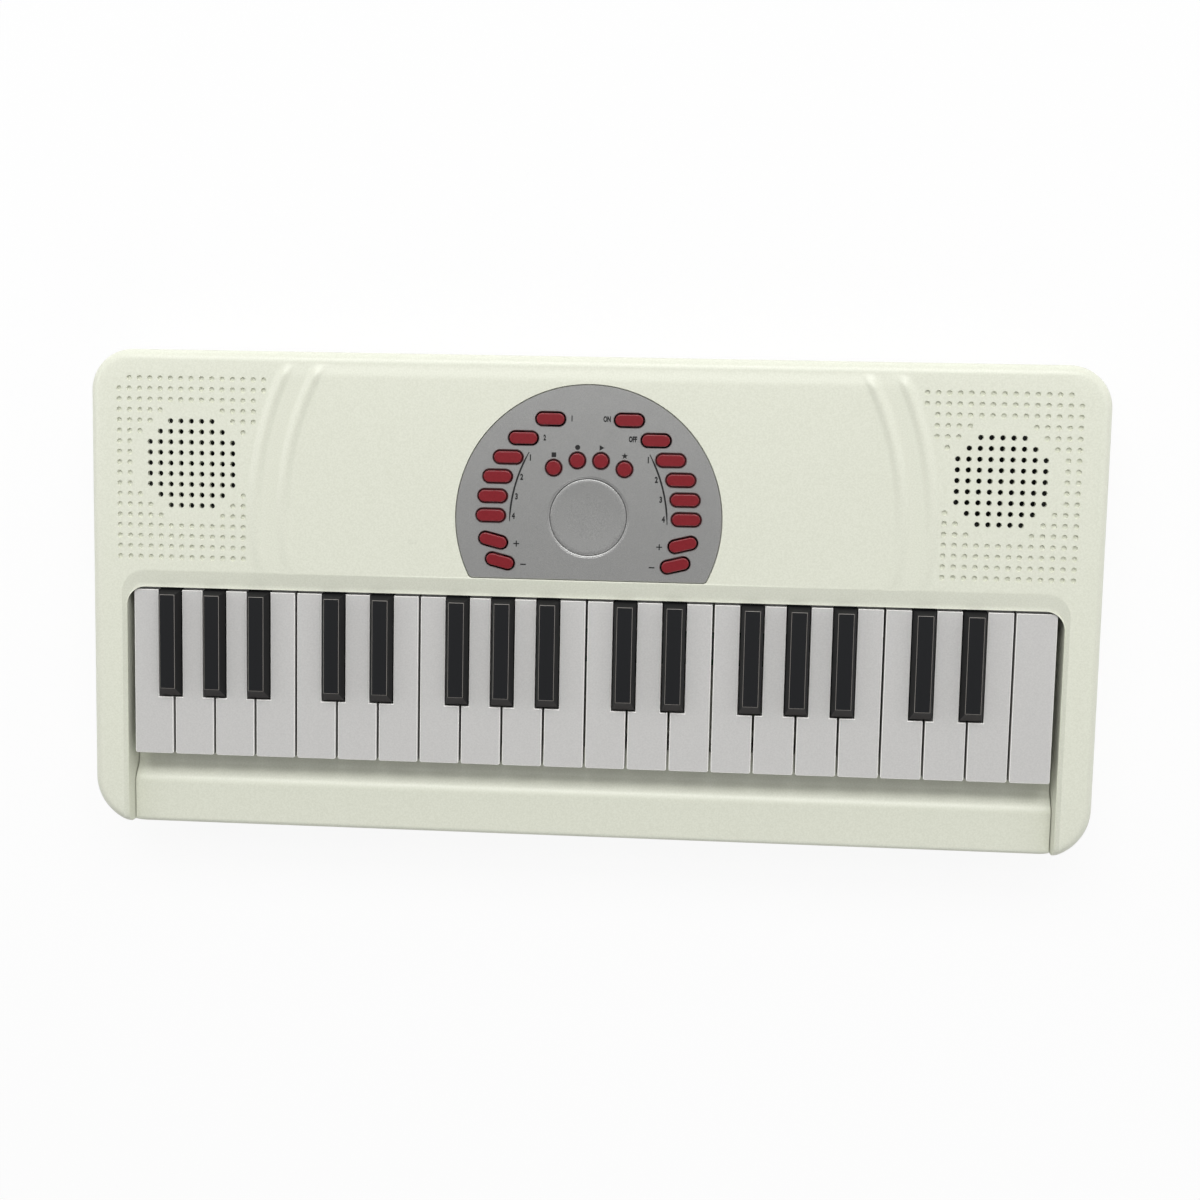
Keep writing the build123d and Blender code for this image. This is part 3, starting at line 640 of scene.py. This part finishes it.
def mark_depth(x, y):
    """How deep the deck is cut by a dimple or by the chamfer of a hole."""
    rings, away = nearest_mark(x, y)
    if rings is None or away >= rings[0][0]:
        return 0.0
    for (wide, high), (narrow, low) in zip(rings, rings[1:]):
        if away >= narrow:
            return high + (low - high) * (wide - away) / (wide - narrow)
    return rings[-1][1]


# Radius, front and corner of the pocket for the panel, and of its chamfer.
pocket = (panel_radius + panel_gap, panel_low.y - panel_gap, panel_corner)
pocket_rim = (pocket[0] + pocket_edge, pocket[1] - pocket_edge, panel_corner + pocket_edge)


def deck_height(x, y):
    """The height of the case's top surface."""
    z = deck_z + relief(x, y)
    share = roll_share(x, y)
    if share < 1:
        z -= lip_drop * min((1 - share) / (1 - lip_rim), 1.0)
        z += lip_rise * max(1 - share / lip_rim, 0.0)
    from_lip = lip_distance(x, y)
    if from_lip < lip_round:
        z -= lip_round - sqrt(max(lip_round ** 2 - (lip_round - max(from_lip, 0)) ** 2, 0))
    from_rear = rear_y - y
    if from_rear < rear_roll:
        z -= rear_roll_drop * (1 - from_rear / rear_roll) ** 2
    depth = outline_depth(x, y)
    if depth < top_edge:
        z -= top_edge - sqrt(max(top_edge ** 2 - (top_edge - max(depth, 0)) ** 2, 0))
    from_pocket = -d_depth(x, y, *pocket)
    if from_pocket < pocket_edge:
        z -= pocket_edge - max(from_pocket, 0)
    return z - mark_depth(x, y)


def on_deck(x, y):
    """Whether a point is on the top surface, and not in the key bay, the panel's pocket or a hole."""
    if outline_depth(x, y) < 0 or lip_distance(x, y) < 0 or d_depth(x, y, *pocket) > 0:
        return False
    rings, away = nearest_mark(x, y)
    return rings is not hole_rings or away > rings[-1][0]


def outline_row(inset, step=6.0, corner_steps=16):
    """The outline of the case, inset, from the left side of the key bay round the rear to its right."""
    radius, back_radius = front_corner - inset, rear_corner - inset
    corner_x, corner_y = case_half - front_corner, front_y + front_corner
    back_x, back_y = case_half - rear_corner, rear_y - rear_corner
    turn = -degrees(acos((bay_half - corner_x) / radius))
    right = arc(corner_x, corner_y, radius, turn, 0, corner_steps)
    right += line((case_half - inset, corner_y), (case_half - inset, back_y), step)[1:-1]
    right += arc(back_x, back_y, back_radius, 0, 90, corner_steps)
    left = [(-x, y) for x, y in right]
    return left + line((-back_x, rear_y - inset), (back_x, rear_y - inset), step)[1:-1] + right[::-1]


def bay_row(side, rear, front, step=4.0, corner_steps=10):
    """A line round the key bay from its left to its right front end, outside its lip by side and rear."""
    radius = bay_corner + min(side, rear)
    x, y = bay_half + side, bay_rear_y + rear
    turn_x, turn_y = x - radius, y - radius
    left = line((-x, front), (-x, turn_y), step)[:-1]
    left += arc(-turn_x, turn_y, radius, 180, 90, corner_steps)
    right = [(-px, py) for px, py in reversed(left)]
    return left + line((-turn_x, y), (turn_x, y), step)[1:-1] + right


def kept(row, test):
    """The stretches of a row of points where the test holds."""
    stretches, current = [], []
    for point in row:
        if test(*point):
            current.append(point)
        elif current:
            stretches.append(current)
            current = []
    stretches.append(current)
    return [stretch for stretch in stretches if len(stretch) > 1]


# The plan lines of the top surface: its rim, then rows along everything that bends.
edge_insets = [top_edge * (1 - cos(radians(turn))) for turn in (0, 12, 24, 36, 48, 60, 70, 80, 90)]
outline_rows = [outline_row(inset) for inset in edge_insets]
bay_side = [row[-1][1] for row in outline_rows]
bay_side += [y for x, y in line((0, bay_side[-1]), (0, bay_turn_y), 4.0)[1:]]
lip_row = bay_row(0, 0, bay_turn_y - 1)[1:-1]
rim_row = outline_rows[0] + [(bay_half, y) for y in bay_side[1:-1]] + lip_row[::-1]
rim_row += [(-bay_half, y) for y in bay_side[-2:0:-1]]

# Where the rows lie: shares of the roll round the bay, and distances from the beads, the fronts of the fields
# and the rounded rear edge.
lip_shares = (lip_rim, 0.3, 0.5, 0.7, 0.93, 1.0, 1.06)
bead_places = (-4.8, -4.2, -3.4, -2.6, -1.8, -1.0, -0.4, 0.0, 0.4, 1.0, 1.6, 2.2, 2.8, 3.4, 4.0)
front_places = (0.0, field_edge, 0.6, 1.2)
rear_places = (0.3, 1.0, 1.9, 2.8, 3.7, 4.6, 5.5, 6.5, 7.5)
rim_clear, edge_clear, field_clear = 0.5, top_edge + 0.4, 1.0

rows = list(outline_rows[1:])
bay_rows = [bay_row(away, away, front_y) for away in (0.04, lip_round)]
bay_rows += [bay_row(cheek_slope * share, lip_slope * share, front_y) for share in lip_shares]
for row in bay_rows:
    rows += kept(row, lambda x, y: outline_depth(x, y) > rim_clear)
for radius in bead_radii:
    for inward in bead_places:
        whole = arc(0, field_centre_y, radius - inward, -30, 210, 180)
        rows += kept(whole, lambda x, y: y > field_front_y + field_clear and outline_depth(x, y) > edge_clear)
    for inward in front_places:
        whole = d_loop(radius - inward, field_front_y + inward, field_corner - inward, 180, 10)
        front = kept(whole, lambda x, y: y < field_front_y + field_corner)
        rows += [front[-1] + front[0]] if len(front) > 1 else front
for behind in rear_places:
    y = rear_y - top_edge - behind
    rows.append(line((rear_corner - case_half, y), (case_half - rear_corner, y), 3.0))
loops = [rim_row, d_loop(*pocket), d_loop(*pocket_rim)]
for mark, rings in marks.items():
    for radius, _ in rings:
        loops.append(circle(*mark_place(mark), radius, mark_steps))

upper = Shape()
deck = upper.skin(loops, rows, on_deck, deck_height)


# ---------- upper case: walls, cavity and inside forms ----------
def side_wall(shape, rim):
    """The walls under the rim of the deck: down to the parting line, or at the lip to the deck's underside.

    Gives their points on the parting line."""
    def inset(x, y):
        """A point of the outline, moved in by the seam's edge."""
        if y < 0 and abs(x) < bay_half + same_place:
            corner_y, radius = front_y + front_corner, front_corner - seam_edge
            return x, corner_y - sqrt(radius ** 2 - (abs(x) - case_half + front_corner) ** 2)
        corner = rear_corner if y > 0 else front_corner
        middle_x = case_half - corner
        middle_y = rear_y - corner if y > 0 else front_y + corner
        away_x = max(abs(x) - middle_x, 0.0)
        away_y = max((y - middle_y) * (1 if y > 0 else -1), 0.0)
        away = hypot(away_x, away_y)
        back_x, back_y = seam_edge * away_x / away, seam_edge * away_y / away
        return x - (back_x if x > 0 else -back_x), y - (back_y if y > 0 else -back_y)

    def column(point):
        """The points of the wall under a point of the rim."""
        x, y, _ = point
        if outline_depth(x, y) < same_place:
            low_x, low_y = inset(x, y)
            return [point, (x, y, split_z + seam_edge), (low_x, low_y, split_z)]
        if y > bay_turn_y + same_place:
            return [point, (x, y, deck_floor_z)]
        if y > bay_turn_y - same_place:
            return [point, (x, y, deck_floor_z), (x, y, split_z)]
        return [point, (x, max(y, inset(x, y)[1]), split_z)]

    def on_lip(x, y, _):
        return y > bay_turn_y + same_place and outline_depth(x, y) > same_place

    columns = [column(point) for point in rim]
    for a, b in zip(columns, columns[1:] + columns[:1]):
        if on_lip(*a[0]) or on_lip(*b[0]):
            a, b = a[:2], b[:2]
        if len(a) == len(b):
            for (a0, a1), (b0, b1) in zip(zip(a, a[1:]), zip(b, b[1:])):
                shape.face([a0, b0, b1, a1])
        else:
            shape.face(a[:1] + b + a[:0:-1])
    return [c[-1] for c in columns if c[-1][2] < split_z + same_place]


def cavity_loop(corner_steps=12):
    """The inside of the walls, from the left end of the lip round the rear to its right end."""
    inner_x, inner_y = bay_half + wall, bay_rear_y + 4 * wall
    radius = front_corner - wall
    corner_x, corner_y = case_half - front_corner, front_y + front_corner
    turn = -degrees(acos((inner_x - corner_x) / radius))
    right = [(bay_half, bay_turn_y), (bay_half, inner_y), (inner_x, inner_y)]
    right += arc(corner_x, corner_y, radius, turn, 0, corner_steps)
    right += arc(case_half - rear_corner, rear_y - rear_corner, rear_corner - wall, 0, 90, corner_steps)
    left = [(-x, y) for x, y in right]
    return left + right[::-1]


def build_upper():
    """The upper case: its walls, the panel's pocket and ledge, the deck's underside and the speaker seats."""
    rim = max(upper.rims(deck), key=len)
    low = [(x, y) for x, y, _ in side_wall(upper, rim)]
    # The lowest points are put in order from the rear left end of the bay's side.
    start = min(range(len(low)), key=lambda i: (abs(low[i][0] + bay_half) > same_place, -low[i][1]))
    low = low[start:] + low[:start]
    if abs(low[1][0] + bay_half) > same_place:
        low = [low[0]] + low[:0:-1]
    cavity = cavity_loop()
    upper.band(lift(cavity, split_z), lift(cavity, deck_floor_z), closed=False)
    rim_loop = low + (cavity[:0:-1] if apart(low[-1], cavity[-1]) < same_place else cavity)
    following = rim_loop[1:] + rim_loop[:1]
    rim_loop = [p for p, q in zip(rim_loop, following) if apart(p, q) > same_place / 10]
    upper.skin([rim_loop], [], inside_loop(rim_loop), lambda x, y: split_z)

    ledge_loop = d_loop(panel_radius + wall, panel_low.y - wall, panel_corner + wall)
    window = d_loop(panel_radius - ledge, panel_low.y + ledge, panel_corner)
    pocket_top = [(x, y, deck_height(x, y)) for x, y in d_loop(*pocket)]
    ledge_z = panel_floor_z - ledge_thickness
    upper.bands(pocket_top, lift(d_loop(*pocket), panel_floor_z), lift(window, panel_floor_z),
                lift(window, ledge_z), lift(ledge_loop, ledge_z), lift(ledge_loop, deck_floor_z))
    floor_loop = cavity + lip_row[::-1]
    holes = []
    for mark, rings in marks.items():
        if rings is hole_rings:
            ring = circle(*mark_place(mark), rings[-1][0], mark_steps)
            upper.band([(x, y, deck_height(x, y)) for x, y in ring], lift(ring, deck_floor_z))
            holes.append(ring)
    in_floor, in_ledge = inside_loop(floor_loop), inside_loop(ledge_loop)

    def on_floor(x, y):
        rings, away = nearest_mark(x, y)
        in_mark = rings is hole_rings and away < rings[-1][0]
        return in_floor(x, y) and not in_ledge(x, y) and not in_mark

    upper.skin([floor_loop, ledge_loop] + holes, [], on_floor, lambda x, y: deck_floor_z)
    seat = speaker_radius + speaker_gap
    seat_low, seat_high = deck_floor_z - speaker_ring_height, deck_floor_z + seat_lap
    for side in (-1, 1):
        inner, outer = [circle(side * speaker_x, speaker_y, r, 64) for r in (seat, seat + wall)]
        upper.bands(lift(inner, seat_high), lift(inner, seat_low), lift(outer, seat_low),
                    lift(outer, seat_high), lift(inner, seat_high))
    upper.piece("case_top_shell", looks["case_top"], "case_top", "upper_case")


build_upper()


# ---------- panel: the inlaid disc and the print ----------
ink = plastic("ink", srgb(12, 12, 13), srgb(18, 18, 19), 0.5, 0.0000004)
print_height, boldness = 0.03, 0.2
dish_radius, dish_depth, dish_setback = 18.0, 0.7, 1.0
# Half the extent of a rocker's cap along X and Y: of the straight and of the tilted ones.
straight_cap, tilted_cap = (6.5, 2.7), (6.39, 3.62)


def build_disc():
    """The slightly hollow disc that lies in the dish of the panel, with a fine groove round it."""
    hollow_radius, hollow_rim, hollow_depth = 17.4, -0.17, 0.35
    # Radius, and height over the panel, from the outer edge in, over the groove.
    profile = [(dish_radius - 0.05, -dish_depth - 0.2), (dish_radius + 0.05, -dish_depth),
               (dish_radius + 1.1, -0.03), (18.8, -0.05), (18.5, -0.12), (18.3, -0.2), (18.2, -0.5),
               (dish_radius, -0.95), (17.82, -0.4), (17.72, -0.24), (17.5, -0.18)]
    for share in (0.93, 0.8, 0.65, 0.5, 0.35, 0.2, 0.08):
        profile.append((hollow_radius * share, hollow_rim - hollow_depth * (1 - share ** 2)))
    centre_y = field_centre_y + dish_setback
    rows = [lift(circle(0, centre_y, radius, 96), panel_high.z + height) for radius, height in profile]
    disc = Shape()
    disc.bands(*rows)
    disc.face(rows[-1])
    disc.face(rows[0])
    # The silver look colours the groove's steep walls near black, which is painted shade.
    disc.piece("centre_disc", looks["panel"], "panel", crease=50.0)


def joint_place(name):
    """A point on the axis that a node turns on."""
    joint = next(j for j in frame["record"]["behaviour"]["joints"] if j["name"] == name + "_joint")
    return Vector(joint["pos_m"]) / MM


def cap_centre(name, part=0):
    """The middle of a button's cap. Part is -1 for the left and 1 for the right cap of a rocker."""
    if not part:
        low, high = box_mm(name)
        return (low.x + high.x) / 2, (low.y + high.y) / 2
    tops = [v.co / MM for v in nodes[name].data.vertices if v.co.z / MM > panel_high.z + 0.5]
    half_length, half_width = straight_cap if name in ("song_rocker", "power_rocker") else tilted_cap
    reach_x = (max(p.x for p in tops) - min(p.x for p in tops)) / 2 - half_length
    reach_y = (max(p.y for p in tops) - min(p.y for p in tops)) / 2 - half_width
    leans = 1 if name in ("song_rocker", "volume_rocker") else -1
    axle = joint_place(name)
    return axle.x + part * reach_x, axle.y + part * leans * reach_y


def printed(name, text, x, y, height, narrow=0.72):
    """A printed character or word, centred at a place on the panel."""
    size_by_height = 1.4        # size of the font over the height of a capital
    curve = bpy.data.curves.new(name, "FONT")
    curve.body = text
    curve.size = height * size_by_height * MM
    curve.align_x, curve.align_y = "CENTER", "CENTER"
    curve.extrude = print_height * MM / 2
    curve.offset = boldness * MM
    curve.resolution_u = 3
    holder = bpy.data.objects.new(name + "_text", curve)
    mesh = bpy.data.meshes.new_from_object(holder)
    bpy.data.objects.remove(holder)
    xs, ys = [v.co.x for v in mesh.vertices], [v.co.y for v in mesh.vertices]
    shift = Vector(((min(xs) + max(xs)) / 2, (min(ys) + max(ys)) / 2, 0))
    place = Matrix.Translation((x * MM, y * MM, panel_high.z * MM))
    mesh.transform(place @ Matrix.Diagonal((narrow, 1, 1, 1)) @ Matrix.Translation(-shift))
    settle(mesh, name, ink)


def stroke(name, points, width):
    """A printed line of a given width, narrower at its ends."""
    end_share, end_points = 0.4, 4
    left, right = [], []
    for i, (x, y) in enumerate(points):
        ahead, back = points[min(i + 1, len(points) - 1)], points[max(i - 1, 0)]
        along = Vector((ahead[0] - back[0], ahead[1] - back[1])).normalized()
        from_end = min(i, len(points) - 1 - i) / end_points
        half = width / 2 * min(end_share + (1 - end_share) * from_end, 1.0)
        left.append((x - along.y * half, y + along.x * half))
        right.append((x + along.y * half, y - along.x * half))
    plate_piece(name, left + right[::-1])


def plate_piece(name, outline):
    """A thin printed area with a given outline."""
    shape = Shape()
    low, high = panel_high.z - print_height / 2, panel_high.z + print_height / 2
    inside = inside_loop(outline)
    shape.skin([outline], [], inside, lambda x, y: high)
    shape.skin([outline], [], inside, lambda x, y: low)
    shape.band(lift(outline, low), lift(outline, high))
    shape.piece(name, ink, "panel")


def sagged(start, end, sag, steps=24):
    """Points on a shallow curve from start to end, bulging to its left by sag."""
    (x0, y0), (x1, y1) = start, end
    length = apart(start, end)
    nx, ny = -(y1 - y0) / length, (x1 - x0) / length
    row = []
    for i in range(steps + 1):
        t = i / steps
        bulge = 4 * sag * t * (1 - t)
        row.append((x0 + (x1 - x0) * t + nx * bulge, y0 + (y1 - y0) * t + ny * bulge))
    return row


def box_outline(x, y, half_x, half_y):
    return [(x - half_x, y - half_y), (x + half_x, y - half_y),
            (x + half_x, y + half_y), (x - half_x, y + half_y)]


def cross_outline(x, y, reach, half):
    """A cross with four equal arms."""
    corners = [(-reach, -half), (-half, -half), (-half, -reach), (half, -reach), (half, -half),
               (reach, -half), (reach, half), (half, half), (half, reach), (-half, reach), (-half, half),
               (-reach, half)]
    return [(x + px, y + py) for px, py in corners]


def star_outline(x, y, reach, waist):
    """A star with five points."""
    outline = []
    for i in range(10):
        radius, turn = (reach if i % 2 == 0 else waist), radians(90 + 36 * i)
        outline.append((x + radius * cos(turn), y + radius * sin(turn)))
    return outline


def build_print():
    """Numbers and a curved line beside each column of buttons, words for the switch, and plain signs."""
    digit, digits_beside = 2.7, (10.5, 11.4, 11.3, 10.7)      # 1 to 4, each clear of the curved line
    line_top, line_foot, line_end, line_sag, line_width = 9.9, 8.9, 2.6, 2.06, 0.85
    for side, group in ((-1, "rhythm"), (1, "instrument")):
        for number in range(1, 5):
            x, y = cap_centre(f"{group}_{number}_button")
            x -= side * digits_beside[number - 1]
            printed(f"print_{group}_{number}", str(number), x, y, digit)
        x, y = cap_centre(f"{group}_1_button")
        end_x, end_y = cap_centre(f"{group}_4_button")
        start, end = (x - side * line_top, y + line_end), (end_x - side * line_foot, end_y - line_end)
        stroke(f"print_{group}_line", sagged(start, end, line_sag * side), line_width)

    word_size, word_narrow, word_beside, word_growth, word_up = 2.5, 0.62, 10.0, 0.4, 0.4
    for name, part, text in (("song_rocker", 1, "1"), ("song_rocker", -1, "2"),
                             ("power_rocker", -1, "ON"), ("power_rocker", 1, "OFF")):
        x, y = cap_centre(name, part)
        side = 1 if name == "power_rocker" else -1
        x -= side * (word_beside + word_growth * (len(text) - 1))
        printed(f"print_{text.lower()}_{name}", text, x, y + word_up, word_size, word_narrow)

    sign_beside, sign_down, plus_size, minus_size = 11.0, 1.3, (1.4, 0.28), (1.35, 0.3)
    for name, side in (("tempo_rocker", -1), ("volume_rocker", 1)):
        for part, text in ((side, "plus"), (-side, "minus")):
            x, y = cap_centre(name, part)
            x, y = x - side * sign_beside, y - sign_down
            outline = cross_outline(x, y, *plus_size) if text == "plus" else box_outline(x, y, *minus_size)
            plate_piece(f"print_{text}_{name}", outline)

    mark_behind, square_half, dot_radius, triangle_radius = 6.1, 1.1, 1.2, 1.5
    star_radius, star_waist = 1.6, 0.7
    places = {name: cap_centre(name + "_button") for name in ("stop", "record", "play", "effect")}
    above = {name: (x, y + mark_behind) for name, (x, y) in places.items()}
    plate_piece("print_stop", box_outline(*above["stop"], square_half, square_half))
    plate_piece("print_record", circle(*above["record"], dot_radius, 24))
    plate_piece("print_play", circle(*above["play"], triangle_radius, 3))
    plate_piece("print_effect", star_outline(*above["effect"], star_radius, star_waist))


build_disc()
build_print()


# ---------- screws of the underside ----------
def zinc(name):
    """Zinc-plated steel."""
    fleck_scale, smear_scale, glossiest, mattest = 900.0, 400.0, 0.26, 0.4
    look = Look(name)
    look.colour(look.ramp(look.noise(fleck_scale), (0.3, srgb(150, 150, 152)), (0.7, srgb(182, 182, 184))))
    look.shader.inputs["Metallic"].default_value = 1.0
    look.rough(look.spread(look.noise(smear_scale), glossiest, mattest))
    return look.material


steel = zinc("zinc_screw")
foot_height, screw_seat_depth = 2.0, 6.0
head_radius, head_height, head_steps, dome_share = 2.7, 1.7, 32, 0.55
cross_arm, cross_half, cross_depth = 1.6, 0.38, 1.1


def screw(name, x, y, low, high):
    """A screw head seen from below: domed, with a cross recess."""
    cross = cross_outline(x, y, cross_arm, cross_half)
    rim, in_cross = circle(x, y, head_radius, head_steps), inside_loop(cross)
    rings = [circle(x, y, head_radius * share, head_steps) for share in (0.96, 0.85, 0.7)]

    def dome(px, py):
        return low + dome_share * (high - low) * (hypot(px - x, py - y) / head_radius) ** 3

    shape = Shape()
    shape.skin([rim, cross] + rings, [], lambda px, py: not in_cross(px, py), dome)
    shape.band([(px, py, dome(px, py)) for px, py in rim], lift(rim, high))
    shape.face(lift(rim, high))
    top = [(px, py, dome(px, py)) for px, py in cross]
    shape.band(top, lift(cross, low + cross_depth))
    shape.skin([cross], [], in_cross, lambda px, py: low + cross_depth)
    shape.piece(name, steel, "case_base")


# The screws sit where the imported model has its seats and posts.
post_side_inset, post_rear_inset, middle_post_gap = 35.5, 17.5, 14.9
cheek_post_places = (33.5, 133.5)
seat_z = foot_height + screw_seat_depth
screw_places = [(case_half - post_side_inset, rear_y - post_rear_inset),
                (panel_radius + wall + middle_post_gap, rear_y - post_rear_inset)]
screw_places += [(case_half - cheek_width / 2, front_y + place) for place in cheek_post_places]
for number, (x, y) in enumerate(screw_places, 1):
    for side, word in ((-1, "left"), (1, "right")):
        screw(f"case_screw_{word}_{number}", side * x, y, seat_z - head_height, seat_z)
door_low, door_high = box_mm("battery_door")
door_ear, door_head_depth, door_head_inset, door_head_lap = 6.0, 1.4, 0.15, 0.4
screw("door_screw", (door_low.x + door_high.x) / 2, door_low.y + door_ear,
      foot_height + door_head_inset, foot_height + door_head_depth + door_head_lap)
